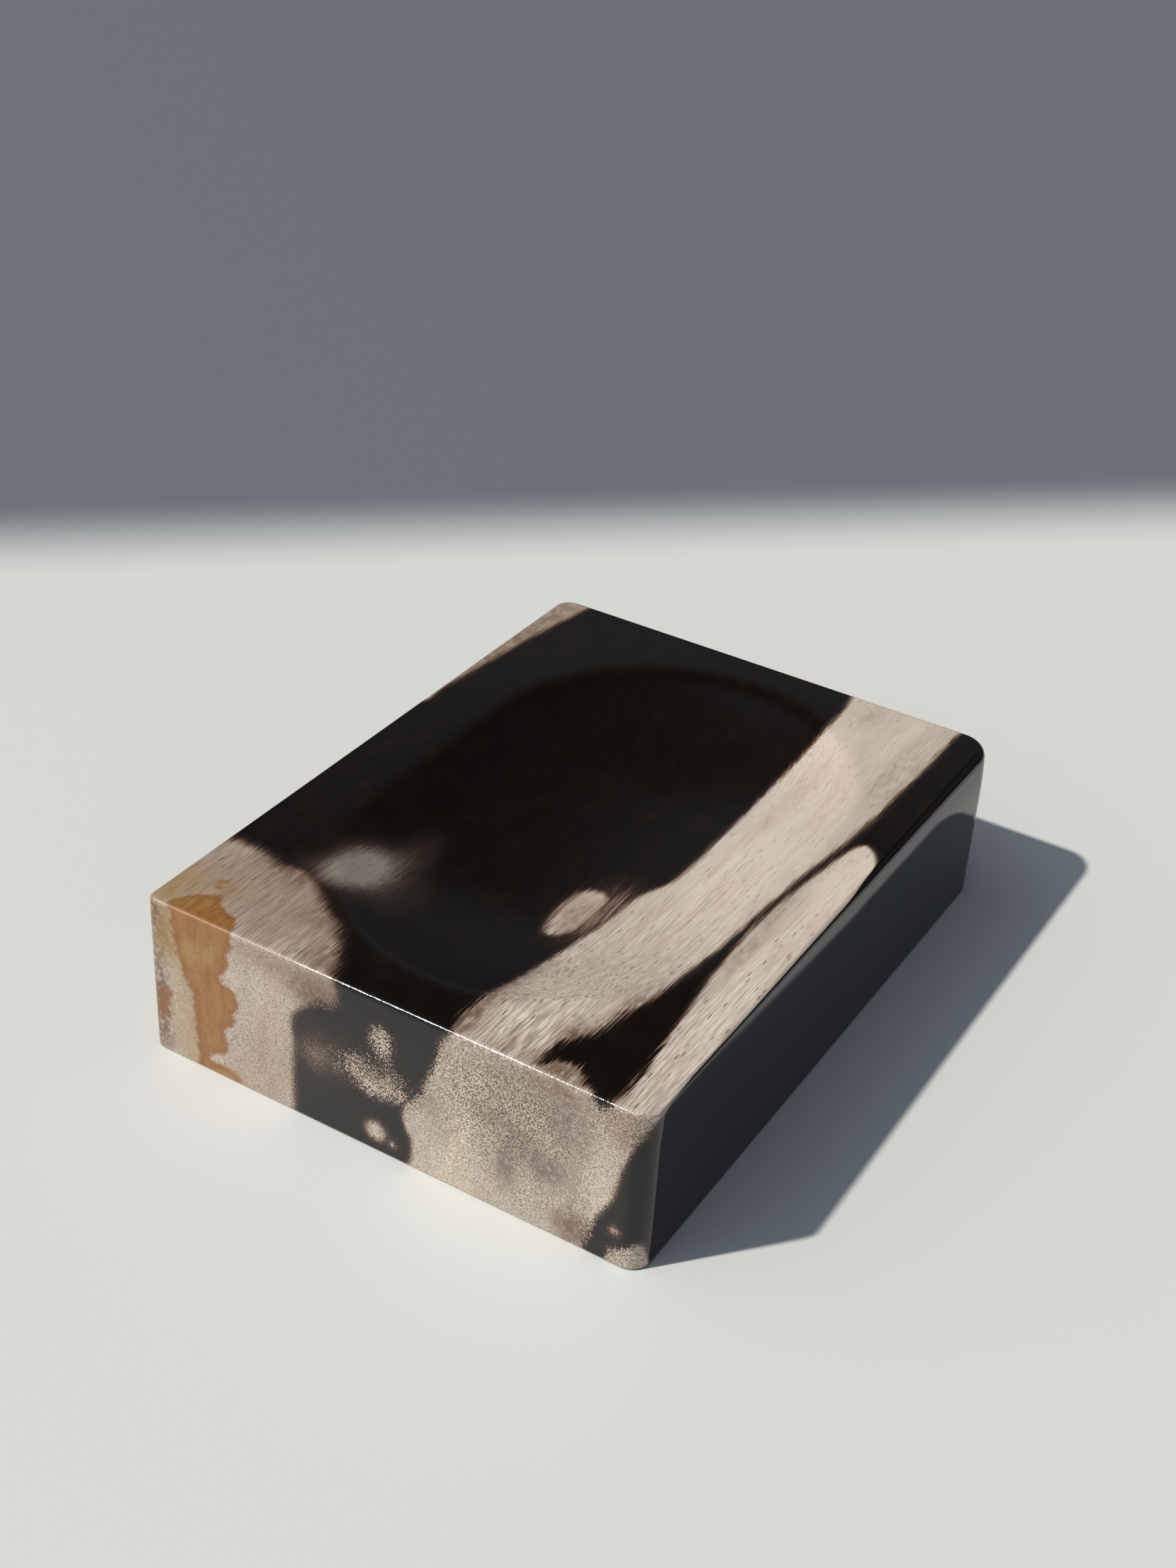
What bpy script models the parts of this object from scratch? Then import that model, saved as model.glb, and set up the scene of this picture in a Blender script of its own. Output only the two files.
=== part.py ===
"""Shallow dish cut in one block of polished petrified wood.

Metres, +Z up. The origin is on the underside, at the middle of the block. +Y is the long way.
The block is one piece of stone: four upright corners rounded by hand, narrow rounds along the
top and bottom edges, and a round-ended hollow sunk in the top.
"""

import math

import bmesh
import bpy
from mathutils import Matrix

# Block
BLOCK_WIDTH = 0.0920
BLOCK_LENGTH = 0.1240
BLOCK_HEIGHT = 0.0300
TOP_EDGE_RADIUS = 0.0010
BOTTOM_EDGE_RADIUS = 0.0005

# Upright corners, as radii seen from above. The stone was rounded by hand, so they differ.
FRONT_LEFT_RADIUS = 0.0015
FRONT_RIGHT_RADIUS = 0.0035
BACK_RIGHT_RADIUS = 0.0060
BACK_LEFT_RADIUS = 0.0035

# Hollow: the flat rim left around it, and how far it sinks
LEFT_RIM = 0.0135
RIGHT_RIM = 0.0110
FRONT_RIM = 0.0095
BACK_RIM = 0.0095
HOLLOW_DEPTH = 0.0075

# Fineness of the round stretches
CORNER_SEGMENTS = 8
EDGE_SEGMENTS = 4
CUTTER_STEP_DEGREES = 2.0

MERGE_DISTANCE = 0.00001
SMOOTH_LIMIT = math.radians(20.0)

STONE_COLOR = (0.055, 0.047, 0.040, 1.0)
STONE_ROUGHNESS = 0.12


def clear_scene():
    for old in list(bpy.data.objects):
        bpy.data.objects.remove(old, do_unlink=True)


def new_collection(name):
    collection = bpy.data.collections.new(name)
    bpy.context.scene.collection.children.link(collection)
    return collection


def stone_material():
    material = bpy.data.materials.new("polished_petrified_wood")
    material.use_nodes = True
    shader = material.node_tree.nodes["Principled BSDF"]
    shader.inputs["Base Color"].default_value = STONE_COLOR
    shader.inputs["Roughness"].default_value = STONE_ROUGHNESS
    shader.inputs["Metallic"].default_value = 0.0
    return material


def place(name, mesh, collection):
    piece = bpy.data.objects.new(name, mesh)
    collection.objects.link(piece)
    return piece


def round_edges(bm, edges, radius, segments):
    bmesh.ops.bevel(
        bm,
        geom=edges,
        offset=radius,
        offset_type="OFFSET",
        segments=segments,
        profile=0.5,
        affect="EDGES",
    )


def upright_edge(bm, side, end):
    """The square corner that stands on the given side (-1 left, 1 right) and end (-1 front, 1 back)."""
    found = []
    for edge in bm.edges:
        middle = (edge.verts[0].co + edge.verts[1].co) / 2
        run = edge.verts[1].co - edge.verts[0].co
        stands = abs(run.z) > BLOCK_HEIGHT / 2
        if stands and middle.x * side > 0 and middle.y * end > 0:
            found.append(edge)
    return found


def level_edges(bm, height):
    """The outline of the flat face at the given height."""
    near = MERGE_DISTANCE
    return [e for e in bm.edges if all(abs(v.co.z - height) < near for v in e.verts)]


def block_mesh():
    bm = bmesh.new()
    size = Matrix.Diagonal((BLOCK_WIDTH, BLOCK_LENGTH, BLOCK_HEIGHT, 1.0))
    lift = Matrix.Translation((0.0, 0.0, BLOCK_HEIGHT / 2))
    bmesh.ops.create_cube(bm, size=1.0, matrix=lift @ size)
    corners = (
        (-1, -1, FRONT_LEFT_RADIUS),
        (1, -1, FRONT_RIGHT_RADIUS),
        (1, 1, BACK_RIGHT_RADIUS),
        (-1, 1, BACK_LEFT_RADIUS),
    )
    for side, end, radius in corners:
        round_edges(bm, upright_edge(bm, side, end), radius, CORNER_SEGMENTS)
    round_edges(bm, level_edges(bm, BLOCK_HEIGHT), TOP_EDGE_RADIUS, EDGE_SEGMENTS)
    round_edges(bm, level_edges(bm, 0.0), BOTTOM_EDGE_RADIUS, EDGE_SEGMENTS)
    mesh = bpy.data.meshes.new("stone_block")
    bm.to_mesh(mesh)
    bm.free()
    return mesh


def hollow_outline():
    """Width and length of the hollow seen from above, and its middle, which lies off the block's own."""
    width = BLOCK_WIDTH - LEFT_RIM - RIGHT_RIM
    length = BLOCK_LENGTH - FRONT_RIM - BACK_RIM
    middle = ((LEFT_RIM - RIGHT_RIM) / 2, (FRONT_RIM - BACK_RIM) / 2)
    return width, length, middle


def capsule_profile(radius, straight):
    """Half outline of a round-ended bar, from the top pole down its outer side to the bottom pole."""
    steps = round(90 / CUTTER_STEP_DEGREES)
    angles = [math.pi / 2 * i / steps for i in range(steps + 1)]
    upper = [(radius * math.sin(a), straight / 2 + radius * math.cos(a)) for a in angles]
    lower = [(x, -z) for x, z in reversed(upper)]
    return upper + lower


def hollow_cutter(collection):
    """A round-ended bar that lies along Y and dips into the top of the block."""
    width, length, (middle_x, middle_y) = hollow_outline()
    radius = ((width / 2) ** 2 + HOLLOW_DEPTH**2) / (2 * HOLLOW_DEPTH)
    profile = capsule_profile(radius, length - width)
    mesh = bpy.data.meshes.new("hollow_cutter")
    edges = [(i, i + 1) for i in range(len(profile) - 1)]
    mesh.from_pydata([(x, 0.0, z) for x, z in profile], edges, [])
    cutter = place("hollow_cutter", mesh, collection)
    turn = cutter.modifiers.new("turn", "SCREW")
    turn.axis = "Z"
    turn.angle = math.tau
    turn.steps = round(360 / CUTTER_STEP_DEGREES)
    turn.render_steps = turn.steps
    turn.use_merge_vertices = True
    turn.merge_threshold = MERGE_DISTANCE
    cutter.rotation_euler = (math.pi / 2, 0.0, 0.0)
    cutter.location = (middle_x, middle_y, BLOCK_HEIGHT - HOLLOW_DEPTH + radius)
    cutter.hide_render = True
    cutter.display_type = "WIRE"
    return cutter


def stone_block(collection, cutters):
    mesh = block_mesh()
    mesh.materials.append(stone_material())
    mesh.shade_smooth()
    mesh.set_sharp_from_angle(angle=SMOOTH_LIMIT)
    block = place("stone_block", mesh, collection)
    sink = block.modifiers.new("sink_hollow", "BOOLEAN")
    sink.operation = "DIFFERENCE"
    sink.solver = "EXACT"
    sink.object = hollow_cutter(cutters)
    return block


def main():
    clear_scene()
    parts = new_collection("petrified_wood_dish")
    cutters = new_collection("cutters")
    stone_block(parts, cutters)


main()
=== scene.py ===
# Polished petrified wood dish: a fine stone surface and its figure, laid over the CAD block.
import math

import bpy
import numpy as np
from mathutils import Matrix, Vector


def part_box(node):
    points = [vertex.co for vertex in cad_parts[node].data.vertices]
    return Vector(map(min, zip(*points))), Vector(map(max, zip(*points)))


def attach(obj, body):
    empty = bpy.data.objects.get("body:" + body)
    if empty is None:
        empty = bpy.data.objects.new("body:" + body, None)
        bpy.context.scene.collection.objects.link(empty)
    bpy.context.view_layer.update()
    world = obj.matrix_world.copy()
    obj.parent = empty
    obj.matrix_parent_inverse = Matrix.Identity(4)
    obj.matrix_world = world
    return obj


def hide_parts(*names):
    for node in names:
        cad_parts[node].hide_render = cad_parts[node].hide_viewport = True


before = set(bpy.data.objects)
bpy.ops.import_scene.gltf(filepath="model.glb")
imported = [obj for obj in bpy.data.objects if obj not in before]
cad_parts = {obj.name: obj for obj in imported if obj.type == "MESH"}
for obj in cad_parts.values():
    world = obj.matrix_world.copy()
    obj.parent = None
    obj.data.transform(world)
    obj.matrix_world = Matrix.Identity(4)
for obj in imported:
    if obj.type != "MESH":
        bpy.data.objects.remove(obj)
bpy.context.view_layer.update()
print("frame loaded:", sorted(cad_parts))

mm = 0.001


def linearColour(hexCode):
    channels = [int(hexCode[i:i + 2], 16) / 255 for i in (1, 3, 5)]
    return tuple(c / 12.92 if c <= 0.04045 else ((c + 0.055) / 1.055) ** 2.4 for c in channels) + (1.0,)


# adds one node with its settings and what feeds it, and gives back one of its outputs
def addNode(tree, kind, settings, inputs, output=0):
    node = tree.nodes.new(kind)
    for name, value in settings.items():
        setattr(node, name, value)
    for key, value in inputs.items():
        if isinstance(value, bpy.types.NodeSocket):
            tree.links.new(value, node.inputs[key])
        else:
            node.inputs[key].default_value = value
    return node.outputs[output] if node.outputs else None


# settings of the nodes used most
layOver = {"data_type": "RGBA"}
multiplyBy = {"data_type": "RGBA", "blend_type": "MULTIPLY"}
softLight = {"data_type": "RGBA", "blend_type": "SOFT_LIGHT"}
softStep = {"interpolation_type": "SMOOTHSTEP"}
plus = {"operation": "ADD"}
minus = {"operation": "SUBTRACT"}
times = {"operation": "MULTIPLY"}


# ---- the block's shape, in millimetres, round the CAD block's own box ----
stoneShape = {
    "cornerRadius": (1.5, 3.5, 6.0, 3.5),     # front left, front right, back right, back left
    "topEdge": (0.9, 1.2, 1.2, 0.5),          # round along the front, right, back and left top edges
    "rightEdgeGrowth": 0.6,                   # the right edge is this much sharper in front, rounder behind
    "pillow": 0.05,                           # how far the polish leans the top of each side inwards
    "rightPillow": 0.26,                      # added on the right side, none in front and all from mid-way
    "pillowFrom": 22.0,                       # height where the lean starts
    "bottomEdge": 0.5,
    "hollowMiddle": (1.25, 0.0),
    "hollowWidth": 67.5,
    "hollowLength": 105.0,
    "hollowDepth": 7.5,
    "rimSoftness": 0.50,                      # how far the polish rounds the rim of the hollow
    "spacing": 0.84,                          # between points along the outline
    "cornerSpacing": 0.5,                     # the same round its corners, with never fewer than cornerPoints
    "cornerPoints": 9,
    "rimInside": (0.3, 0.6, 1.0, 1.5, 2.2),   # rings just inside the rim, where the surface bends most
}

# rings of points on each stretch of the surface, from the middle of the underside out, up and in again
ringCounts = {"underside": 15, "bottomEdge": 6, "side": 42, "topEdge": 8, "rim": 26, "hollow": 58}
ringCrowding = 0.9                            # how closely rings crowd at the ends of a stretch, under 1


# points and outward directions round a rounded rectangle, anticlockwise from the front left corner
def outlineRing(halfX, halfY, radii, spacing):
    places = ((-1, -1, 180), (1, -1, 270), (1, 1, 0), (-1, 1, 90))
    arcs = []
    for (sideX, sideY, start), radius in zip(places, radii):
        arcLength = radius * math.pi / 2
        count = max(stoneShape["cornerPoints"], math.ceil(arcLength / stoneShape["cornerSpacing"]))
        turn = np.radians(np.linspace(start, start + 90, count))
        outward = np.stack([np.cos(turn), np.sin(turn)], axis=1)
        middle = np.array([sideX * (halfX - radius), sideY * (halfY - radius)])
        arcs.append((middle + radius * outward, outward))
    points, normals = [], []
    for i, (arc, outward) in enumerate(arcs):
        following = arcs[(i + 1) % 4][0][0]
        run = following - arc[-1]
        count = max(2, round(np.linalg.norm(run) / spacing))
        steps = np.linspace(0, 1, count + 1)[1:-1, None]
        points += [arc, arc[-1] + steps * run]
        normals += [outward, np.repeat(outward[-1:], len(steps), axis=0)]
    return np.concatenate(points), np.concatenate(normals)


# how far the surface lies under the flat top, with the rim eased over
def hollowDepthAt(x, y):
    halfWidth = stoneShape["hollowWidth"] / 2
    core = stoneShape["hollowLength"] / 2 - halfWidth
    depth = stoneShape["hollowDepth"]
    wheel = (halfWidth ** 2 + depth ** 2) / (2 * depth)
    fromX = x - stoneShape["hollowMiddle"][0]
    fromY = np.maximum(np.abs(y - stoneShape["hollowMiddle"][1]) - core, 0)
    reached = np.maximum(wheel ** 2 - fromX ** 2 - fromY ** 2, 1.0)    # kept positive far outside the hollow
    below = np.sqrt(reached) - (wheel - depth)
    return 0.5 * (below + np.sqrt(below ** 2 + stoneShape["rimSoftness"] ** 2))


# distance from the hollow's middle to its rim along each direction
def rimReach(direction):
    halfWidth = stoneShape["hollowWidth"] / 2
    core = stoneShape["hollowLength"] / 2 - halfWidth
    across, along = np.abs(direction[:, 0]), np.abs(direction[:, 1])
    toSide = halfWidth / np.maximum(across, 1e-6)
    toEnd = core * along + np.sqrt(np.maximum(core ** 2 * (along ** 2 - 1) + halfWidth ** 2, 0))
    return np.where(toSide * along <= core, toSide, toEnd)


# steps from 0 to 1 that crowd together at both ends
def easedSteps(count):
    t = np.linspace(0, 1, count)
    return t - ringCrowding * np.sin(2 * math.pi * t) / (2 * math.pi)


def stoneRings():
    low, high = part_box("stone_block")
    halfX, halfY, top = (high.x - low.x) / 2 / mm, (high.y - low.y) / 2 / mm, high.z / mm
    outline, outward = outlineRing(halfX, halfY, stoneShape["cornerRadius"], stoneShape["spacing"])
    front, right, back, left = stoneShape["topEdge"]
    share = outward ** 2
    alongRight = share[:, 0] * (outward[:, 0] > 0) * outline[:, 1] / halfY
    topEdge = (
        share[:, 1] * np.where(outward[:, 1] < 0, front, back)
        + share[:, 0] * np.where(outward[:, 0] > 0, right, left)
        + alongRight * stoneShape["rightEdgeGrowth"]
    )
    rightShare = share[:, 0] * (outward[:, 0] > 0)
    rightLean = stoneShape["rightPillow"] * rightShare * np.clip(1 + alongRight, 0, 1)
    lean = stoneShape["pillow"] + rightLean
    start = stoneShape["pillowFrom"]
    leanAngle = np.arctan(2 * lean / (top - topEdge - start))
    sideTop = top - topEdge * (1 - np.sin(leanAngle))
    bottomEdge = stoneShape["bottomEdge"]
    level = np.ones(len(outline))
    rings = []                                # each is (x y points, heights, upward part of the normal)
    underside = outline - outward * bottomEdge
    for q in np.linspace(0, 1, ringCounts["underside"])[1:]:
        rings.append((underside * q, 0 * level, -level))
    for turn in np.radians(np.linspace(0, 90, ringCounts["bottomEdge"]))[1:]:
        inset = bottomEdge * (1 - math.sin(turn))
        height = bottomEdge * (1 - math.cos(turn)) * level
        rings.append((outline - outward * inset, height, -math.cos(turn) * level))
    for q in easedSteps(ringCounts["side"])[1:]:
        height = bottomEdge + (sideTop - bottomEdge) * q
        inset = lean * (np.maximum(height - start, 0) / (sideTop - start)) ** 2
        rings.append((outline - outward * inset[:, None], height, 0 * level))
    for q in np.linspace(0, 1, ringCounts["topEdge"])[1:]:
        turn = leanAngle + (math.pi / 2 - leanAngle) * q
        inset = lean + topEdge * (np.cos(leanAngle) - np.cos(turn))
        height = top - topEdge * (1 - np.sin(turn))
        rings.append((outline - outward * inset[:, None], height, np.sin(turn)))
    shoulder = rings[-1][0]
    middle = np.array(stoneShape["hollowMiddle"])
    direction = shoulder - middle
    direction /= np.linalg.norm(direction, axis=1)[:, None]
    reach = rimReach(direction)
    rim = middle + direction * reach[:, None]
    for q in easedSteps(ringCounts["rim"])[1:]:
        points = shoulder + (rim - shoulder) * q
        rings.append((points, top - hollowDepthAt(*points.T), level))
    for inside in stoneShape["rimInside"]:
        points = middle + direction * (reach - inside)[:, None]
        rings.append((points, top - hollowDepthAt(*points.T), level))
    lastRing = rings[-1][0] - middle
    for q in np.linspace(1, 0, ringCounts["hollow"])[1:-1]:
        points = middle + lastRing * q
        rings.append((points, top - hollowDepthAt(*points.T), level))
    return outward, rings, top


def stoneMesh():
    outward, rings, top = stoneRings()
    count = len(outward)
    points = [np.column_stack([xy, z]) for xy, z, _ in rings]
    facing = []
    for _, _, up in rings:
        level = np.sqrt(np.maximum(1 - up ** 2, 0))
        facing.append(np.column_stack([outward * level[:, None], up]))
    middleX, middleY = stoneShape["hollowMiddle"]
    hollowFloor = top - hollowDepthAt(np.array([middleX]), np.array([middleY]))[0]
    points += [np.array([[0.0, 0.0, 0.0]]), np.array([[middleX, middleY, hollowFloor]])]
    facing += [np.array([[0.0, 0.0, -1.0]]), np.array([[0.0, 0.0, 1.0]])]
    points, facing = np.concatenate(points), np.concatenate(facing)
    along = np.arange(count)
    after = (along + 1) % count
    faces = []
    for r in range(len(rings) - 1):
        a, b = r * count, (r + 1) * count
        faces += np.column_stack([a + along, a + after, b + after, b + along]).tolist()
    underMiddle, topMiddle = len(points) - 2, len(points) - 1
    lastStart = (len(rings) - 1) * count
    faces += [(underMiddle, int(j), int(i)) for i, j in zip(along, after)]
    faces += [(lastStart + int(i), lastStart + int(j), topMiddle) for i, j in zip(along, after)]
    mesh = bpy.data.meshes.new("petrifiedWoodBlock")
    mesh.from_pydata((points * mm).tolist(), [], faces)
    mesh.validate()
    mesh.shade_smooth()
    return mesh, points, facing


# ---- the figure of the stone: where pale wood, black mineral and amber stain meet, in millimetres ----
# each outline is (points, sharpness): a sharpness under 1 lets its border fade over a wider stretch
topPale = {
    "cornerPatch": ([(-60, -41.3), (-46, -41.2), (-40, -41.3), (-36.5, -42), (-34.6, -43.2), (-32.5, -42.2),
                     (-29.5, -41.8), (-27, -43), (-24.2, -45.3), (-21, -48), (-17.2, -50.4), (-14.6, -53.3),
                     (-12.2, -57), (-10.8, -60.5), (-10, -68), (-60, -68)], 0.45),
    "longBand": ([(12.3, -68), (12, -61.5), (11.2, -56), (11.3, -51), (10.6, -45), (10.1, -37), (10.3, -30),
                  (10.8, -24), (11.6, -18), (12.1, -12), (13, -7.5), (15.2, -3), (15.8, 4), (15.6, 14),
                  (16, 27), (16.8, 37), (18, 46), (18.2, 54), (18.2, 70), (39, 70), (39, 58), (39, 48),
                  (38.8, 38), (38.6, 29), (38, 20), (37.2, 11), (36.2, 2), (35.5, -6), (34.9, -13),
                  (34.2, -20), (33.3, -27.5), (32.6, -34), (31.8, -39.5), (30.8, -43.5), (29.6, -48.5),
                  (28.6, -51.5), (26.6, -54), (26, -57), (26.1, -60.2), (26.4, -60), (28, -58.6),
                  (30.3, -57.6), (32.6, -58.7), (34.3, -60.4), (36.2, -61.6), (36.5, -68)], 0.85),
    "sideBand": ([(40.8, 17.8), (39.2, 15.5), (38.2, 11), (37, 3), (36.3, -4), (35.8, -12), (36.1, -20),
                  (36.6, -28), (37.4, -35), (38, -41), (38.7, -47), (39.3, -52), (39.4, -58), (39.4, -68),
                  (54, -68), (54, 2), (46.8, 8), (45.4, 12.5), (43.3, 16.3)], 1.0),
    "island": ([(3.2, -13), (3, -19), (4.3, -24.5), (6.3, -25.8), (8.6, -23.5), (9.8, -18), (9.6, -12.5),
                (7.8, -10.3), (5, -10.6)], 0.6),
    "islandBridge": ([(9, -22.5), (8.6, -16), (9.2, -10), (11, -9.5), (12.4, -13), (12.2, -19),
                      (11.2, -23)], 0.12),
    "farStrip": ([(-60, 10), (-46.2, 12), (-45.3, 18), (-44.2, 28), (-43, 40), (-41.8, 50), (-40.6, 58),
                  (-40, 70), (-60, 70)], 0.8),
}
frontPale = {
    "leftPatch": ([(-60, 36), (-60, -14), (-17, -14), (-17.2, -3), (-17.1, 5), (-17, 13), (-17.2, 18.5),
                   (-16.2, 20.6), (-14.2, 22.6), (-12.2, 24), (-9.4, 25), (-8.6, 27.5), (-9.4, 30),
                   (-9.4, 36)], 0.6),
    "endGrain": ([(11.8, 36), (11.5, 30), (10.2, 27), (9.3, 23), (7.8, 19), (6.6, 15.6), (4.6, 13.2),
                  (3.3, 11), (3.5, 8), (4.8, 5.5), (5, 2), (4.8, -6), (36, -6), (36.4, 1), (37.4, 4.5),
                  (38.6, 8), (40.2, 11.5), (41.4, 15), (42, 18.5), (43, 22), (44.4, 26), (46.5, 29),
                  (52, 33), (52, 36), (39.4, 36), (39.4, 30.2), (38.9, 29), (37.9, 28.4), (36.9, 29),
                  (36.3, 30.2), (36.3, 36)], 1.0),
    "highBlot": ([(-2, 22.2), (-1.8, 24.2), (-0.4, 24.6), (0.8, 23.4), (1, 21.4), (0.4, 19.8),
                  (-1, 20.2)], 0.55),
    "wideBlot": ([(-7, 14), (-6.6, 16.2), (-4.4, 17.2), (-2.6, 15.8), (-0.4, 16), (1.4, 16.8), (2.8, 15),
                  (4.4, 13.2), (2.6, 12.2), (0, 11.4), (-2.6, 11), (-4.8, 12)], 0.42),
    "faintBlot": ([(-14.2, 14.6), (-12.5, 16), (-9.9, 15.4), (-9.5, 13.8), (-11.4, 13), (-13.4, 13.2)], 0.12),
    "lowBlot": ([(-3.8, 4.2), (-2.8, 5.9), (-0.8, 6.1), (0.4, 4.8), (0.4, 3.2), (-1, 2.1),
                 (-3, 2.5)], 0.6),
    "lowDot": ([(0.9, 3), (1.7, 3.6), (2.4, 2.8), (1.5, 2.1)], 0.8),
    "cornerChip": ([(39.6, -4), (40.1, 1), (41, 3), (43.5, 4.2), (46.5, 6), (52, 7), (52, -4)], 1.0),
    "chipSpot": ([(40.2, 6.7), (41.2, 7.7), (42.2, 6.8), (41.3, 5.7)], 1.0),
}
# the left, back and under faces carry the same bands on through the stone
leftPale = {
    "cornerPatch": ([(-68, 36), (-68, -6), (-47, -6), (-43, 2), (-37.5, 9), (-36.5, 16), (-39, 24),
                     (-41.2, 30), (-41.5, 36)], 1.0),
    "farStrip": ([(12, 36), (12.5, 29), (20, 24), (31, 21), (42, 19.5), (50, 16), (57, 13), (68, 12),
                  (68, 36)], 0.8),
    "lens": ([(-26, 9), (-14, 11.5), (-4, 13.2), (6, 12.4), (19, 13.6), (10, 9.8), (-2, 8.8),
              (-12, 7.2)], 0.4),
}
rightPale = {
    "frontCorner": ([(-72, 40), (-72, 22), (-61.6, 24.5), (-60.6, 27), (-59, 28.8), (-57, 30),
                     (-57, 40)], 1.0),
    "cornerChip": ([(-72, -4), (-72, 7), (-62, 6.4), (-60, 3), (-59.4, -4)], 1.0),
}
backPale = {
    "longBand": ([(18.2, 36), (18.2, 30), (17, 21), (18.8, 12), (20, 5), (19, -6), (35, -6), (34.6, 2),
                  (33.4, 9), (35.6, 17), (38.2, 24), (39, 30), (39, 36)], 1.0),
    "farStrip": ([(-60, 36), (-60, 12), (-46, 12), (-42.5, 15), (-39.5, 21), (-39.2, 27), (-40.2, 36)], 0.8),
    "blot": ([(0.6, 12.4), (3.4, 13.2), (5, 16.4), (8.4, 14.6), (11.6, 13.8), (9.2, 10.6), (6.8, 7.4),
              (4.4, 9.3)], 0.6),
    "smallBlot": ([(-17, 22.4), (-14.6, 23), (-13, 25.4), (-9.4, 23.2), (-11.6, 20.8), (-14.2, 20)], 0.35),
}
underPale = {
    "cornerPatch": ([(-60, -44), (-46, -44), (-38, -45.5), (-30, -43), (-24, -48), (-19, -55), (-17, -62),
                     (-17, -70), (-60, -70)], 1.0),
    "longBand": ([(5, -70), (5, -61), (6.5, -48), (9, -36), (8.6, -22), (11, -8), (13.5, 8), (15, 24),
                  (17.5, 42), (19, 62), (19, 70), (35, 70), (35, 60), (34, 46), (36.5, 30), (35, 12),
                  (36.5, -6), (37.5, -22), (35, -38), (36, -52), (36, -70)], 1.0),
    "sliver": ([(-12, -30), (-10, -14), (-11.5, 2), (-13.5, -12)], 0.6),
}
topAmber = {
    "main": ([(-41.8, -68), (-41.7, -61), (-40.5, -58.5), (-38.7, -56.3), (-36.3, -55.2), (-34.6, -57.2),
              (-32.2, -58.3), (-30.2, -59.3), (-29.4, -62), (-29.4, -68)], 1.0),
    "drop": ([(-39.2, -53), (-38.5, -51), (-37.6, -52.6), (-38.2, -54.4)], 1.0),
}
frontAmber = {
    "column": ([(-41.5, 36), (-41.4, 29), (-40.6, 26), (-40.4, 22), (-38.8, 18), (-37.6, 14.4), (-37.4, 10.4),
                (-37, 6), (-36.6, 2), (-37, -5), (-27, -5), (-28.2, 0.8), (-30.4, 2.4), (-33.4, 2.2),
                (-34.2, 3.2), (-33, 4.6), (-31.4, 5.3), (-30.6, 7), (-31, 8.6), (-30.8, 10.2), (-28.9, 12.2),
                (-29.3, 14.2), (-28.3, 16), (-28.9, 18.8), (-32.3, 19.7), (-31, 21.6), (-29.6, 24),
                (-30.2, 25.4), (-28.9, 27), (-29.4, 30), (-29.4, 36)], 0.8),
    "mottle": ([(-44.6, 12.6), (-43, 13.2), (-42, 11), (-42.8, 7.6), (-44.4, 6.6), (-45.2, 9)], 0.5),
}
leftAmber = {
    "column": ([(-70, 25), (-60, 25.5), (-56.5, 22), (-57.5, 15), (-54, 9), (-57, 3), (-58, -5),
                (-70, -5)], 1.0),
}

# soft patches of tone: (across, along or up, half width, half height, strength)
# haze is grey smoke in the black; smoke and umber darken the wood; tan warms it; bleach lightens it;
# ochre is the pale wash beside the amber; dim greys the wood a little, as end grain is;
# speckle is its open salt-and-pepper grain; calm evens the grain out; fray draws the border out along it
frontTone = {
    "smoke": [(26, 25, 8, 5, 0.34), (19, 28, 6, 3, 0.25), (33, 22, 4, 6, 0.7), (22, 9, 2, 4.5, 1.0),
              (29.5, 12.5, 4.4, 3, 1.0), (24, 16, 4, 3, 0.6), (19, 18, 3, 2.4, 0.6), (33.6, 3.4, 3, 2.4, 0.8),
              (8.5, 14, 2.4, 2, 0.6), (10, 9, 2, 3, 0.3), (-46, 24, 2.4, 7, 1.0)],
    "umber": [(-45.4, 28, 2.4, 2.4, 1.0), (-44.8, 14.5, 2.6, 5, 1.0), (-44.6, 4, 3, 5, 1.0),
              (-44, 23, 2.6, 6, 0.5), (-12.5, 25, 6, 3.6, 0.9), (34.5, 3, 3.5, 4, 0.8),
              (-12, 14.6, 2.6, 2, 0.9), (4, 3, 1.6, 4, 0.6), (31, 28.5, 6, 2.4, 0.7),
              (-1.2, 15.6, 5.5, 2.0, 0.65), (-20, 28.4, 9, 2.4, 0.22)],
    "tan": [(-23, 8, 8, 16, 0.55), (-20, 28, 12, 3.5, 0.8), (42, 27, 4, 5, 0.9), (-11, 26, 5, 4, 0.9)],
    "ochre": [(-42, 25, 6, 6, 1.0), (-38.4, 9, 3.6, 13, 0.55), (-31, 1, 5, 2, 0.5)],
    "bleach": [(13, 5, 8, 6, 0.45), (38.5, 15, 2.4, 10, 0.6), (15.2, 13.6, 0.7, 2.4, 0.9),
               (13.8, 10, 0.7, 2.6, 1.0), (12.4, 6.2, 0.7, 2.6, 0.9), (-22, 21, 7, 9, 0.35)],
    "speckle": [(22.5, 21, 15, 11, 1.0), (22, 8, 18, 7, 0.3), (-1.5, 15, 8, 5, 0.9), (-0.5, 22, 3.5, 4, 0.7),
                (-13, 25, 6, 2.6, 0.6), (40, 27, 5, 5, 0.5), (43, 3, 4, 3, 0.6), (35, 4, 4, 4, 0.6)],
    "dim": [(0, 15, 200, 60, 0.15), (10, 24, 7, 7, 0.15), (27, 14, 20, 24, 0.2)],
}
leftTone = {
    "umber": [(-60, 15, 3.5, 12, 0.8)],
    "smoke": [(-60, 24, 3, 5, 0.9)],
    "tan": [(-50, 15, 20, 40, 0.9), (40, 28, 40, 30, 0.8)],
    "dim": [(0, 15, 200, 60, 0.5)],
    "speckle": [(0, 15, 200, 60, 0.25)],
}
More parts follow.
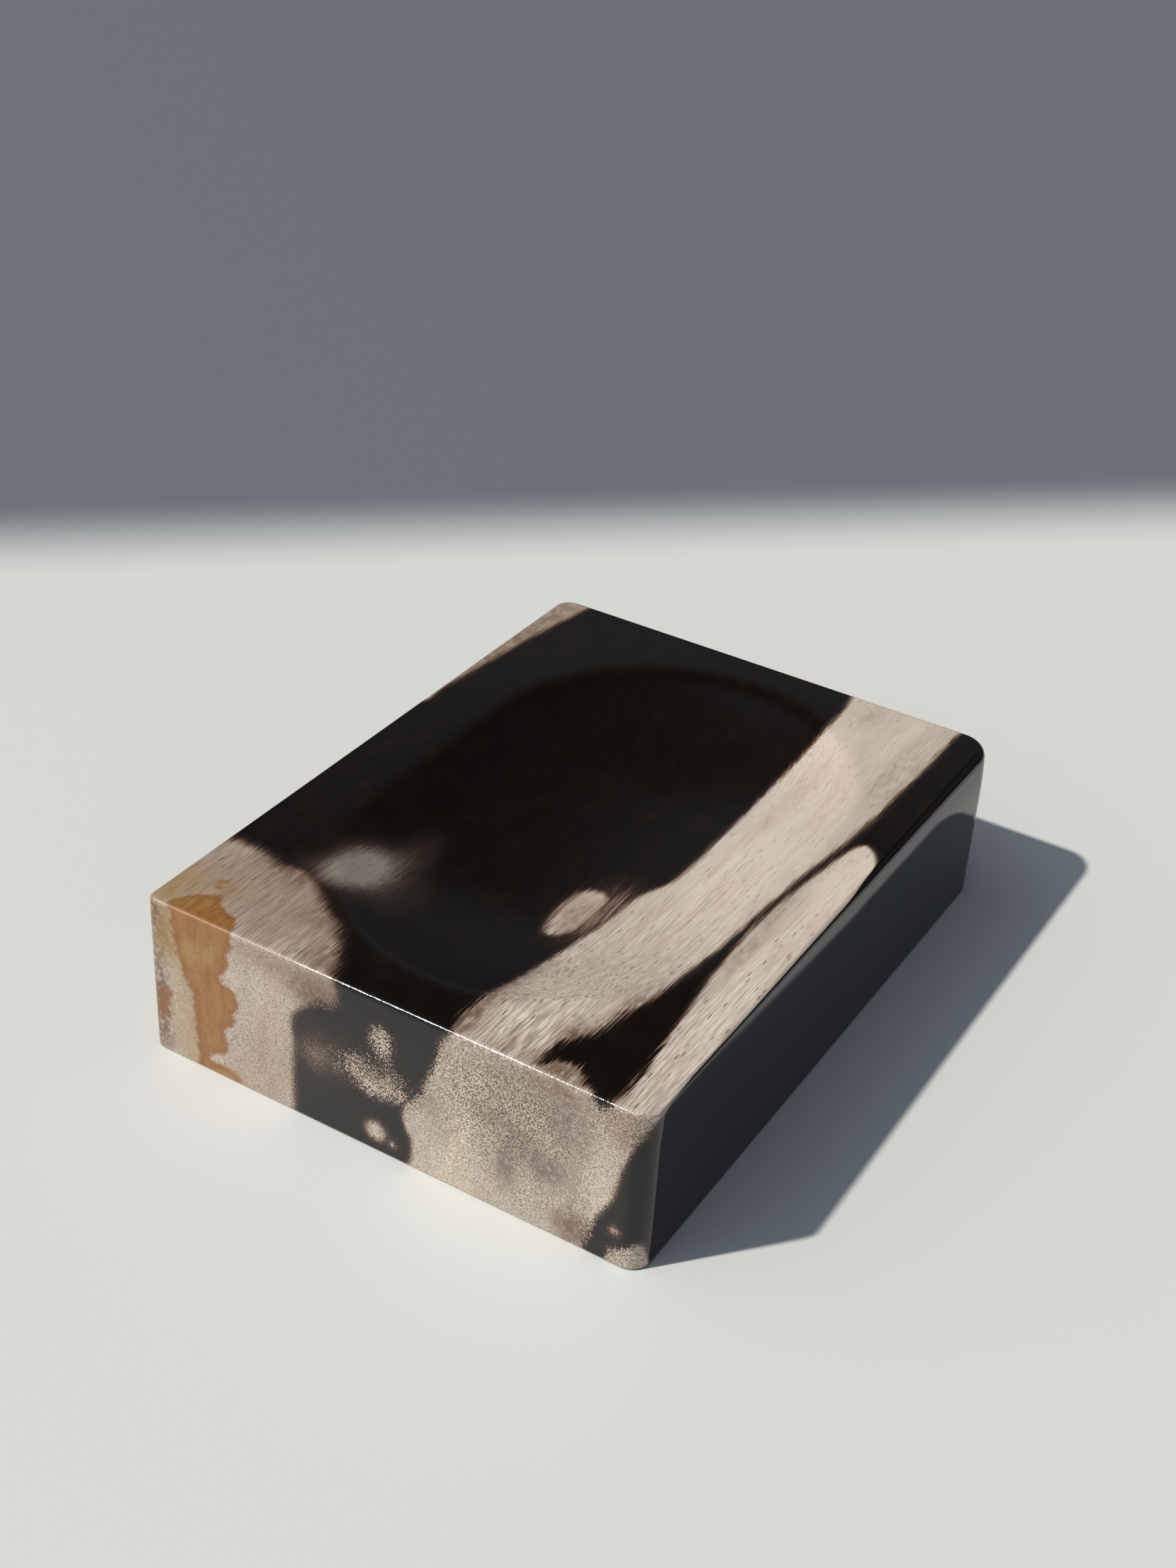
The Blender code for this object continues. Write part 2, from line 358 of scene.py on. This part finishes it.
backTone = {
    "smoke": [(26, 20, 6, 7, 0.8), (30, 8, 4, 4, 0.6)],
    "tan": [(-44, 24, 8, 20, 0.8)],
    "dim": [(0, 15, 200, 60, 0.5)],
    "speckle": [(28, 15, 16, 20, 0.9), (5, 12, 7, 6, 0.9)],
}
topTone = {
    "haze": [(-24.6, -34.6, 3.5, 6, 0.6), (-24.6, -34.4, 5.6, 8.4, 0.34), (-21, -34, 8, 10, 0.24),
             (-28.5, -40.5, 5.5, 4, 0.22), (-21.6, -22, 3.4, 7, 0.18)],
    "ochre": [(-44.4, -57, 4.4, 6, 0.7), (-37, -53.6, 4, 2.6, 0.4)],
    "calm": [(-34, -52, 24, 13, 0.2)],
    "dim": [(-30, -50, 24, 14, 0.3)],
    "fray": [(29.5, -48, 4, 8, 1.0), (35, -55, 4, 5, 0.7), (39, -50, 2, 12, 0.8), (11.5, -56, 2.4, 7, 1.0)],
    "smoke": [(35.5, 42, 3.5, 16, 0.35), (36.8, -4, 1.5, 9, 0.5), (20, -50, 9, 2, 0.3)],
    "umber": [(30.6, -60.2, 6, 2.8, 1.0), (-44, 40, 5, 30, 0.7), (7, -18, 3.5, 7, 0.45),
              (27.4, -52.5, 2.6, 4, 1.0), (31, -44, 2.0, 7, 1.0), (-30, -43, 8, 3.2, 0.95),
              (23, 56, 2.6, 5, 0.3), (-13, -59, 4, 6, 0.8), (12.5, -57.5, 2.2, 7, 0.9),
              (11, -44, 1.8, 11, 0.6), (-19, -51, 6, 3, 0.7), (38.6, -56, 1.6, 6, 0.5),
              (38.2, -20, 1.3, 9, 0.45)],
    "tan": [(-32, -50, 24, 14, 1.0), (-44, 40, 5, 30, 1.0), (20, -59, 12, 3, 0.25), (6, -18, 5, 9, 0.4)],
    "bleach": [(42.4, -20, 4, 45, 0.72), (26, 4, 9, 22, 0.5), (20, -48, 9, 12, 0.7), (28, 52, 12, 14, 0.45),
               (42, 8, 3, 12, 0.45)],
    "speckle": [(25, -55, 18, 8, 0.35), (-15, -56, 6, 6, 0.2)],
}

toneNames = ("haze", "smoke", "umber", "tan", "ochre", "bleach", "speckle", "dim", "calm", "fray")
placeNames = ("frontEdge", "edgeWear", "sunken")
leastShare = 1e-4                             # a face that gives a point less than this is left out of it
farAway = 8.0                                 # distances to an outline are kept within this
toneFalloff = 1.5                             # how squarely a soft patch ends
wearEnds = (-18, -12)                         # the front edge's dull wear fades out between these
sunkenFrom = 1.2                              # this far under the top, the surface is wholly the hollow's
nearlyUp = 0.99                               # and it faces up, not to a side


# a smooth closed line through a handful of points, drawn finely enough to measure from
def smoothLine(corners, steps=8):
    p = np.array(corners, float)
    before, after, beyond = np.roll(p, 1, 0), np.roll(p, -1, 0), np.roll(p, -2, 0)
    t = np.linspace(0, 1, steps, endpoint=False)[:, None, None]
    bend = (
        (2 * p) + (after - before) * t + (2 * before - 5 * p + 4 * after - beyond) * t ** 2
        + (3 * p - before - 3 * after + beyond) * t ** 3
    ) / 2
    return bend.transpose(1, 0, 2).reshape(-1, 2)


# distance to the line's nearest point, positive inside it
def insideDistance(points, line):
    following = np.roll(line, -1, 0)
    run = following - line
    nearest = np.full(len(points), 1e9)
    inside = np.zeros(len(points), bool)
    for a, b, d in zip(line, following, run):
        rel = points - a
        share = np.clip(rel @ d / max(d @ d, 1e-12), 0, 1)
        gap = rel - share[:, None] * d
        nearest = np.minimum(nearest, (gap ** 2).sum(1))
        crosses = (a[1] > points[:, 1]) != (b[1] > points[:, 1])
        if abs(d[1]) > 1e-12:
            inside ^= crosses & (points[:, 0] < a[0] + rel[:, 1] * d[0] / d[1])
    return np.sqrt(nearest) * np.where(inside, 1, -1)


def figureField(points, outlines):
    field = np.full(len(points), -farAway)
    for corners, sharpness in outlines.values():
        field = np.maximum(field, insideDistance(points, smoothLine(corners)) * sharpness)
    return np.clip(field, -farAway, farAway)


def toneField(points, patches):
    tone = np.zeros(len(points))
    for x, y, halfX, halfY, strength in patches:
        spread = ((points[:, 0] - x) / halfX) ** 2 + ((points[:, 1] - y) / halfY) ** 2
        tone += strength * np.exp(-spread ** toneFalloff)
    return np.minimum(tone, 1)


# writes each distance and tone on the mesh's points, blending from face to face round the edges
def paintFigure(mesh, points, facing):
    share = facing ** 2
    faces = {
        "top": (share[:, 2] * (facing[:, 2] > 0), (0, 1), topPale, topAmber, topTone),
        "under": (share[:, 2] * (facing[:, 2] < 0), (0, 1), underPale, {}, {}),
        "front": (share[:, 1] * (facing[:, 1] < 0), (0, 2), frontPale, frontAmber, frontTone),
        "back": (share[:, 1] * (facing[:, 1] > 0), (0, 2), backPale, {}, backTone),
        "left": (share[:, 0] * (facing[:, 0] < 0), (1, 2), leftPale, leftAmber, leftTone),
        "right": (share[:, 0] * (facing[:, 0] > 0), (1, 2), rightPale, {}, {}),
    }
    fields = {name: np.zeros(len(points)) for name in ("pale", "amber") + toneNames}
    for weight, axes, pale, amber, tone in faces.values():
        used = weight > leastShare
        flat = points[used][:, axes]
        values = {"pale": figureField(flat, pale), "amber": figureField(flat, amber)}
        values.update({name: toneField(flat, tone.get(name, [])) for name in toneNames})
        for name in values:
            fields[name][used] += weight[used] * values[name]
    frontEdge = (facing[:, 1] < 0) & (facing[:, 2] > 0)
    fields["frontEdge"] = np.where(frontEdge, 4 * share[:, 1] * share[:, 2], 0)
    fields["edgeWear"] = fields["frontEdge"] * np.interp(points[:, 0], wearEnds, (1.0, 0.0))
    below = points[:, 2].max() - points[:, 2]
    fields["sunken"] = np.clip(below / sunkenFrom, 0, 1) * (facing[:, 2] > nearlyUp)
    for name, values in fields.items():
        attribute = mesh.attributes.new(name, "FLOAT", "POINT")
        attribute.data.foreach_set("value", values.astype(np.float32))


# ---- polished petrified wood: agate-like quartz, ground flat and polished to a wet shine ----
# The eye sees black glassy mineral, dry pale wood grain under the same polish, and amber iron stain.
stoneFinish = {
    "black": "#0F0A06",
    "blackCloud": "#17100B",
    "char": "#261A14",          # the burnt brown line where black meets pale
    "rust": "#6A5243",
    "paleLight": "#DACCBB",
    "pale": "#CDBCA9",
    "paleShade": "#B09C8B",
    "tanTint": "#D8CFC9",       # what the wood is multiplied by where it is tan
    "bleachTint": "#F2EBE4",
    "haze": "#998B7D",
    "hazeBrown": "#4A3A30",
    "dimTint": "#D3CFC6",
    "smoke": "#78655C",
    "umber": "#735742",
    "vessel": "#6A5547",
    "grainDark": "#7C7167",
    "grainLight": (1.30, 1.30, 1.28, 1.0),     # over 1, so that dark grain doesn't dim the wood as a whole
    "ochre": "#A4834F",         # a pale wash beside the amber
    "amber": "#9C6B38",
    "amberDeep": "#844F26",
    "amberPale": "#A27B4C",
    "ior": 1.54,                # quartz
    "specular": 0.40,           # a hand-rubbed polish mirrors a little less than glass
    "polish": 0.07,
    "hollowPolish": 0.24,       # the hollow was rubbed by hand and stays a little duller
    "woodRoughness": 0.12,      # added over the pale wood
    "frontEdge": 0.09,          # added along the ground front edge
    "edgeWear": 0.30,           # and where that edge is worn dull, at its left end
    "vesselWidth": 0.55,        # mm between rows of vessels, drawn coarser than the real 0.3 mm
    "vesselLength": 3.4,        # mm along the grain
    "vesselShift": (5, 4, 2),
    "vesselStrength": 0.85,
    "speckleStrength": 0.75,    # how strongly the dark grain shows in speckled wood, and in the rest
    "livelyStrength": 0.28,
    "waveStrength": 0.25,       # the slight unevenness of a hand polish, and its depth in mm
    "waveDepth": 0.10,
    "pitStrength": 0.30,        # open vessels
    "pitDepth": 0.03,
    "facetStrength": 0.60,      # unpolished facets along the front edge
    "facetDepth": 0.05,
}

# noise patterns: mm across the grain, mm along it, mm up the ends, shift, detail, roughness
# the grain runs along the block, so most are long that way and short across it
stonePatterns = {
    "sway": (9, 22, 9, (3, 1, 5), 2.0, 0.5),              # the slow wander of a border, as tree rings wander
    "fibre": (0.36, 9.0, 0.36, (0, 0, 0), 4.0, 0.65),     # drawn coarser than the real cells of about 0.1 mm
    "broad": (2.6, 26, 11, (7, 2, 4), 3.0, 0.5),          # growth rings, 2 to 3 mm apart
    "seam": (0.34, 13.0, 0.34, (4, 8, 6), 1.0, 0.5),      # dark lines between fibres, coarser than real too
    "drip": (0.9, 4, 7, (8, 3, 2), 3.0, 0.6),             # runs in the amber, about 1 mm apart
    "speck": (0.27, 4.5, 0.27, (2, 9, 1), 2.0, 0.6),      # end grain, drawn coarser than its 0.1 mm cells
    "blotch": (3.2, 6.5, 3.2, (1, 3, 8), 5.0, 0.6),       # scallops of the stain and clouds in the black
    "vein": (1.1, 2.4, 1.1, (6, 5, 2), 4.0, 0.65),        # the fine branching of smoke and umber
    "pool": (7, 12, 7, (2, 6, 3), 2.0, 0.5),              # where the stain lies thick or thin
    "grit": (0.32, 0.32, 0.32, (0, 6, 3), 1.0, 0.5),      # facets that coarse grinding leaves
    "ripple": (14, 18, 14, (0, 0, 0), 1.0, 0.5),          # the unevenness of a hand polish
}

# soft steps: where each starts and ends, then what it gives there if not 0 and 1
stoneSteps = {
    "fibre": (0.34, 0.66),
    "calm": (-62 * mm, 20 * mm, 0.15, 0.80),              # the grain grows calmer along the block
    "broad": (0.42, 0.68, 0.0, 0.35),
    "smoke": (0.34, 0.64),
    "grain": (0.41, 0.58),
    "seam": (0.60, 0.70, 0.0, 0.60),
    "seamInSpeckle": (0.2, 0.8, 1.0, 0.0),
    "vessel": (0.14, 0.32, 1.0, 0.0),
    "vesselPick": (0.40, 0.95),
    "vesselInSpeckle": (0.3, 1.0, 1.0, 0.35),
    "vesselInLively": (0.0, 0.8, 0.35, 1.0),
    "ochre": (0.30, 0.56, 0.55, 1.0),
    "pool": (0.31, 0.53),
    "veinLine": (0.0, 0.035, 0.5, 0.0),
    "drip": (0.48, 0.66, 0.0, 0.55),
    "stainRim": (0.1, 1.4, 0.55, 0.0),
    "stainFibre": (0.45, 0.62, 0.0, 0.25),
    "stain": (-0.6, 0.35),
    "umber": (0.30, 0.62),
    "cloud": (0.45, 0.75),
    "hazeBrown": (0.0, 0.55),
    "haze": (0.25, 1.05),
    "speckInBorder": (0.0, 1.0, 0.8, 7.2),
    "burnt": (-0.35, 0.30),
    "burntInHaze": (0.08, 0.40),
    "pastBlack": (-0.85, -0.25),
    "pastBurnt": (0.0, 0.85),
    "isWood": (-0.5, 0.5),
}

# patterns that push a border or a tone to and fro, and the whole width of the push
stoneSwings = {
    "smokeSpeck": ("speck", 1.7),
    "stainBlotch": ("blotch", 2.0),
    "stainVein": ("vein", 1.6),
    "umberSpeck": ("speck", 0.8),
    "hazeFibre": ("fibre", 1.4),
    "borderSway": ("sway", 0.8),
    "borderFibre": ("fibre", 1.3),
    "borderFray": ("fibre", 5.0),
    "borderSpeck": ("speck", 1.2),
    "borderVein": ("vein", 3.0),
}


def petrifiedWoodPolished():
    f = stoneFinish
    colour = {name: linearColour(code) for name, code in f.items() if isinstance(code, str)}
    step = {name: dict(enumerate(numbers, 1)) for name, numbers in stoneSteps.items()}
    material = bpy.data.materials.new("petrifiedWoodPolished")
    material.use_nodes = True
    tree = material.node_tree
    tree.nodes.clear()
    place = addNode(tree, "ShaderNodeTexCoord", {}, {}, "Object")
    along = addNode(tree, "ShaderNodeSeparateXYZ", {}, {0: place}, "Y")

    # the tones painted on the mesh, the noise patterns, and those patterns as a push to either side
    field = {}
    for name in ("pale", "amber") + toneNames + placeNames:
        field[name] = addNode(tree, "ShaderNodeAttribute", {"attribute_name": name}, {}, "Fac")
    noise = {}
    for name, (width, length, height, shift, detail, rough) in stonePatterns.items():
        grains = addNode(tree, "ShaderNodeMapping", {}, {
            "Vector": place, "Location": shift,
            "Scale": (1 / (width * mm), 1 / (length * mm), 1 / (height * mm))})
        noise[name] = addNode(tree, "ShaderNodeTexNoise", {}, {
            "Vector": grains, "Scale": 1.0, "Detail": detail, "Roughness": rough}, "Fac")
    swing = {}
    for name, (pattern, reach) in stoneSwings.items():
        swing[name] = addNode(tree, "ShaderNodeMapRange", {"clamp": False}, {
            0: noise[pattern], 3: -reach / 2, 4: reach / 2})

    # open vessels, one to a cell, of which only some show
    rowWidth, rowLength = f["vesselWidth"] * mm, f["vesselLength"] * mm
    rows = addNode(tree, "ShaderNodeMapping", {}, {
        "Vector": place, "Location": f["vesselShift"], "Scale": (1 / rowWidth, 1 / rowLength, 1 / rowWidth)})
    cells = addNode(tree, "ShaderNodeTexVoronoi", {}, {"Vector": rows, "Scale": 1.0, "Randomness": 1.0}).node
    picked = addNode(tree, "ShaderNodeSeparateColor", {}, {0: cells.outputs["Color"]})

    # how calm or lively the grain is, and where smoke, umber, haze and the thin amber veins lie
    calmAlong = addNode(tree, "ShaderNodeMapRange", softStep, {0: along, **step["calm"]})
    calm = addNode(tree, "ShaderNodeMath", plus, {0: calmAlong, 1: field["calm"]})
    lively = addNode(tree, "ShaderNodeMath", minus, {0: 1.0, 1: calm})
    smokeVein = addNode(tree, "ShaderNodeMath", plus, {0: noise["vein"], 1: swing["smokeSpeck"]})
    umberVein = addNode(tree, "ShaderNodeMath", plus, {0: noise["vein"], 1: swing["umberSpeck"]})
    hazeSwing = addNode(tree, "ShaderNodeMath", times, {0: swing["hazeFibre"], 1: field["haze"]})
    haze = addNode(tree, "ShaderNodeMath", plus, {0: field["haze"], 1: hazeSwing})
    fromMiddle = addNode(tree, "ShaderNodeMath", minus, {0: noise["blotch"], 1: 0.5})
    veinLine = addNode(tree, "ShaderNodeMath", {"operation": "ABSOLUTE"}, {0: fromMiddle})

    # the amber's border, and the pale wood's, frayed along the grain and broken up by the end grain
    stainEdge = field["amber"]
    for push in ("stainBlotch", "stainVein"):
        stainEdge = addNode(tree, "ShaderNodeMath", plus, {0: stainEdge, 1: swing[push]})
    specks = addNode(tree, "ShaderNodeMapRange", softStep, {0: field["speckle"], **step["speckInBorder"]})
    border = field["pale"]
    for push, share in (
        ("borderSway", 1.0), ("borderFibre", 1.0), ("borderFray", field["fray"]), ("borderSpeck", specks),
        ("borderVein", field["speckle"]),
    ):
        border = addNode(tree, "ShaderNodeMath", {"operation": "MULTIPLY_ADD"}, {
            0: swing[push], 1: share, 2: border})

    eased = {}
    for name, source in {
        "fibre": noise["fibre"], "broad": noise["broad"], "smoke": smokeVein, "grain": noise["speck"],
        "seam": noise["seam"], "seamInSpeckle": field["speckle"], "vessel": cells.outputs["Distance"],
        "vesselPick": picked, "vesselInSpeckle": field["speckle"], "vesselInLively": lively,
        "ochre": noise["vein"], "pool": noise["pool"], "veinLine": veinLine, "drip": noise["drip"],
        "stainRim": stainEdge, "stainFibre": noise["fibre"], "stain": stainEdge, "umber": umberVein,
        "cloud": noise["blotch"], "hazeBrown": haze, "haze": haze, "burnt": border, "burntInHaze": haze,
        "pastBlack": border, "pastBurnt": border, "isWood": border,
    }.items():
        eased[name] = addNode(tree, "ShaderNodeMapRange", softStep, {0: source, **step[name]})

    # amounts that are several things multiplied
    polished = addNode(tree, "ShaderNodeMath", minus, {0: 1.0, 1: field["frontEdge"]})
    amount = {}
    for name, (first, *others) in {
        "smoke": (field["smoke"], eased["smoke"]),
        "speckle": (field["speckle"], f["speckleStrength"]),
        "lively": (lively, f["livelyStrength"]),
        "seam": (eased["seam"], eased["seamInSpeckle"], lively),
        "vessel": (eased["vessel"], eased["vesselPick"], eased["vesselInSpeckle"], eased["vesselInLively"]),
        "ochre": (field["ochre"], eased["ochre"]),
        "umber": (field["umber"], eased["umber"]),
        "hollow": (field["sunken"], f["hollowPolish"] - f["polish"]),
        "wood": (eased["isWood"], polished, f["woodRoughness"]),
        "frontEdge": (field["frontEdge"], f["frontEdge"]),
        "edgeWear": (field["edgeWear"], f["edgeWear"]),
        "facet": (noise["grit"], field["frontEdge"]),
    }.items():
        amount[name] = first
        for other in others:
            amount[name] = addNode(tree, "ShaderNodeMath", times, {0: amount[name], 1: other})
    shownVessel = addNode(tree, "ShaderNodeMath", times, {0: amount["vessel"], 1: f["vesselStrength"]})
    pit = addNode(tree, "ShaderNodeMath", times, {0: amount["vessel"], 1: eased["isWood"]})
    pitHeight = addNode(tree, "ShaderNodeMath", minus, {0: 1.0, 1: pit})
    grainShare = addNode(tree, "ShaderNodeMath", plus, {0: amount["speckle"], 1: amount["lively"]})

    # amber iron stain: soft pools, redder in thin veins and along its scalloped border
    stain = colour["amberPale"]
    for share, tint in (
        (eased["pool"], "amber"), (eased["veinLine"], "amberDeep"), (eased["drip"], "amberDeep"),
        (eased["stainRim"], "amberDeep"), (eased["stainFibre"], "amberPale"),
    ):
        stain = addNode(tree, "ShaderNodeMix", layOver, {0: share, 6: stain, 7: colour[tint]}, 2)

    # pale wood, laid up layer by layer, with the stain near the end
    grain = addNode(tree, "ShaderNodeMix", layOver, {
        0: eased["grain"], 6: colour["grainDark"], 7: f["grainLight"]}, 2)
    wood = colour["paleShade"]
    for share, tint, blend in (
        (eased["fibre"], colour["paleLight"], layOver),
        (calm, colour["pale"], layOver),
        (eased["broad"], colour["paleShade"], layOver),
        (field["bleach"], colour["bleachTint"], softLight),
        (field["tan"], colour["tanTint"], multiplyBy),
        (field["dim"], colour["dimTint"], multiplyBy),
        (amount["smoke"], colour["smoke"], layOver),
        (grainShare, grain, multiplyBy),
        (amount["seam"], colour["vessel"], layOver),
        (shownVessel, colour["vessel"], layOver),
        (amount["ochre"], colour["ochre"], layOver),
        (eased["stain"], stain, layOver),
        (amount["umber"], colour["umber"], layOver),
    ):
        wood = addNode(tree, "ShaderNodeMix", blend, {0: share, 6: wood, 7: tint}, 2)

    # black mineral, with grey smoke where a little wood is left in it
    black = colour["black"]
    for share, tint in (
        (eased["cloud"], "blackCloud"), (eased["hazeBrown"], "hazeBrown"), (eased["haze"], "haze"),
    ):
        black = addNode(tree, "ShaderNodeMix", layOver, {0: share, 6: black, 7: colour[tint]}, 2)

    # from black through the burnt line to wood
    burnt = addNode(tree, "ShaderNodeMix", layOver, {
        0: eased["burnt"], 6: colour["char"], 7: colour["rust"]}, 2)
    burnt = addNode(tree, "ShaderNodeMix", layOver, {0: eased["burntInHaze"], 6: burnt, 7: black}, 2)
    surface = addNode(tree, "ShaderNodeMix", layOver, {0: eased["pastBlack"], 6: black, 7: burnt}, 2)
    surface = addNode(tree, "ShaderNodeMix", layOver, {0: eased["pastBurnt"], 6: surface, 7: wood}, 2)

    roughness = f["polish"]
    for part in ("hollow", "wood", "frontEdge", "edgeWear"):
        roughness = addNode(tree, "ShaderNodeMath", plus, {0: roughness, 1: amount[part]})

    # relief: the hand polish, open vessels, and the ground edge, whose unpolished facets sparkle
    waves = addNode(tree, "ShaderNodeBump", {}, {
        "Height": noise["ripple"], "Strength": f["waveStrength"], "Distance": f["waveDepth"] * mm})
    pits = addNode(tree, "ShaderNodeBump", {}, {
        "Height": pitHeight, "Strength": f["pitStrength"], "Distance": f["pitDepth"] * mm, "Normal": waves})
    facets = addNode(tree, "ShaderNodeBump", {}, {
        "Height": amount["facet"], "Strength": f["facetStrength"], "Distance": f["facetDepth"] * mm,
        "Normal": pits})
    shader = addNode(tree, "ShaderNodeBsdfPrincipled", {}, {
        "Base Color": surface, "Roughness": roughness, "IOR": f["ior"], "Specular IOR Level": f["specular"],
        "Metallic": 0.0, "Normal": facets})
    addNode(tree, "ShaderNodeOutputMaterial", {}, {"Surface": shader})
    return material


def makeStone():
    mesh, points, facing = stoneMesh()
    paintFigure(mesh, points, facing)
    stone = bpy.data.objects.new("petrifiedWoodBlock", mesh)
    bpy.context.scene.collection.objects.link(stone)
    mesh.materials.append(petrifiedWoodPolished())
    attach(stone, "root")
    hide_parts("stone_block")
    print("stone made:", len(mesh.polygons), "faces")


makeStone()


# ---- stage: a plain pale floor, a key lamp from the front left and a soft grey room ----
stage = {
    "floorColour": "#E1E0D8",
    "farColour": "#6F7379",
    "floorRadius": 1.2,
    "floorPoints": 96,
    "floorDrop": 0.02,                       # mm under the stone, so the two never share a plane
    "floorRoughness": 0.6,                   # matt paint
    "fadeAcross": (-0.657, 0.753, 0.0),      # the pale floor gives way to grey along this direction
    "fadeFrom": 0.148,
    "fadeTo": 0.190,
    "keyDirection": (-0.60, -0.68, 1.00),    # towards the lamp
    "keyStrength": 3.05,
    "keyColour": (1.0, 0.985, 0.945),
    "keySpread": 1.8,                        # degrees, so shadows have a soft edge
}


def makeFloor():
    bpy.ops.mesh.primitive_circle_add(
        vertices=stage["floorPoints"], radius=stage["floorRadius"], fill_type="NGON")
    floor = bpy.context.object
    floor.name = "paleFloor"
    floor.location.z = -stage["floorDrop"] * mm
    material = bpy.data.materials.new("mattPaintPale")
    material.use_nodes = True
    tree = material.node_tree
    tree.nodes.clear()
    place = addNode(tree, "ShaderNodeTexCoord", {}, {}, "Object")
    far = addNode(tree, "ShaderNodeVectorMath", {"operation": "DOT_PRODUCT"}, {
        0: place, 1: stage["fadeAcross"]}, "Value")
    fade = addNode(tree, "ShaderNodeMapRange", softStep, {0: far, 1: stage["fadeFrom"], 2: stage["fadeTo"]})
    paint = addNode(tree, "ShaderNodeMix", layOver, {
        0: fade, 6: linearColour(stage["floorColour"]), 7: linearColour(stage["farColour"])}, 2)
    shader = addNode(tree, "ShaderNodeBsdfPrincipled", {}, {
        "Base Color": paint, "Roughness": stage["floorRoughness"]})
    addNode(tree, "ShaderNodeOutputMaterial", {}, {"Surface": shader})
    floor.data.materials.append(material)


def makeLights():
    lamp = bpy.data.lights.new("keyLamp", "SUN")
    lamp.energy = stage["keyStrength"]
    lamp.color = stage["keyColour"]
    lamp.angle = math.radians(stage["keySpread"])
    key = bpy.data.objects.new("keyLamp", lamp)
    key.rotation_euler = Vector(stage["keyDirection"]).to_track_quat("Z", "Y").to_euler()
    bpy.context.scene.collection.objects.link(key)


# the room: a dim grey wall with one lighter stretch, a cool window behind the key lamp and a weaker one
# at the right. Each window is the way to it, the edge and core of its glow, and its colour
room = {
    "brightness": (                          # height up the wall, from 0 level to 1 overhead, and how bright
        (0.00, 0.050), (0.22, 0.080), (0.38, 0.120), (0.50, 0.130), (0.59, 0.050), (0.72, 0.036),
        (1.0, 0.042)),
    "wallTint": (0.96, 1.0, 1.04),
    "window": ((-0.60, -0.68, 0.60), 0.50, 0.95, (0.50, 0.60, 0.78)),
    "fill": ((0.76, -0.20, 0.61), 0.55, 0.95, (0.19, 0.22, 0.30)),
}


def makeRoom():
    world = bpy.data.worlds.new("studioRoom")
    bpy.context.scene.world = world
    world.use_nodes = True
    tree = world.node_tree
    tree.nodes.clear()
    way = addNode(tree, "ShaderNodeTexCoord", {}, {}, "Generated")
    height = addNode(tree, "ShaderNodeSeparateXYZ", {}, {0: way}, "Z")
    light = addNode(tree, "ShaderNodeValToRGB", {}, {0: height}, "Color")
    ramp = light.node.color_ramp
    while len(ramp.elements) < len(room["brightness"]):
        ramp.elements.new(0.5)
    for stop, (position, level) in zip(ramp.elements, room["brightness"]):
        stop.position = position
        stop.color = tuple(level * tint for tint in room["wallTint"]) + (1,)
    for name in ("window", "fill"):
        toward, edge, core, tint = room[name]
        lean = addNode(tree, "ShaderNodeVectorMath", {"operation": "DOT_PRODUCT"}, {
            0: way, 1: Vector(toward).normalized()}, "Value")
        glow = addNode(tree, "ShaderNodeMapRange", softStep, {0: lean, 1: edge, 2: core})
        light = addNode(tree, "ShaderNodeMix", layOver, {0: glow, 6: light, 7: tint + (1,)}, 2)
    sky = addNode(tree, "ShaderNodeBackground", {}, {"Color": light, "Strength": 1.0})
    addNode(tree, "ShaderNodeOutputWorld", {}, {"Surface": sky})


cameraPlace = {
    "location": (0.1491, -0.2661, 0.2323),
    "turn": (57.16, -2.90, 31.63),           # degrees about X, Y and Z
    "lens": 49.9,
    "sensor": 36.0,
    "clip": (0.01, 20),
}


def makeCamera():
    lens = bpy.data.cameras.new("viewCamera")
    lens.lens = cameraPlace["lens"]
    lens.sensor_width = cameraPlace["sensor"]
    lens.clip_start, lens.clip_end = cameraPlace["clip"]
    camera = bpy.data.objects.new("viewCamera", lens)
    camera.location = cameraPlace["location"]
    camera.rotation_euler = [math.radians(v) for v in cameraPlace["turn"]]
    bpy.context.scene.collection.objects.link(camera)
    bpy.context.scene.camera = camera


makeFloor()
makeLights()
makeRoom()
makeCamera()
bpy.context.scene.view_settings.view_transform = "Standard"
print("stage, lights and camera made")
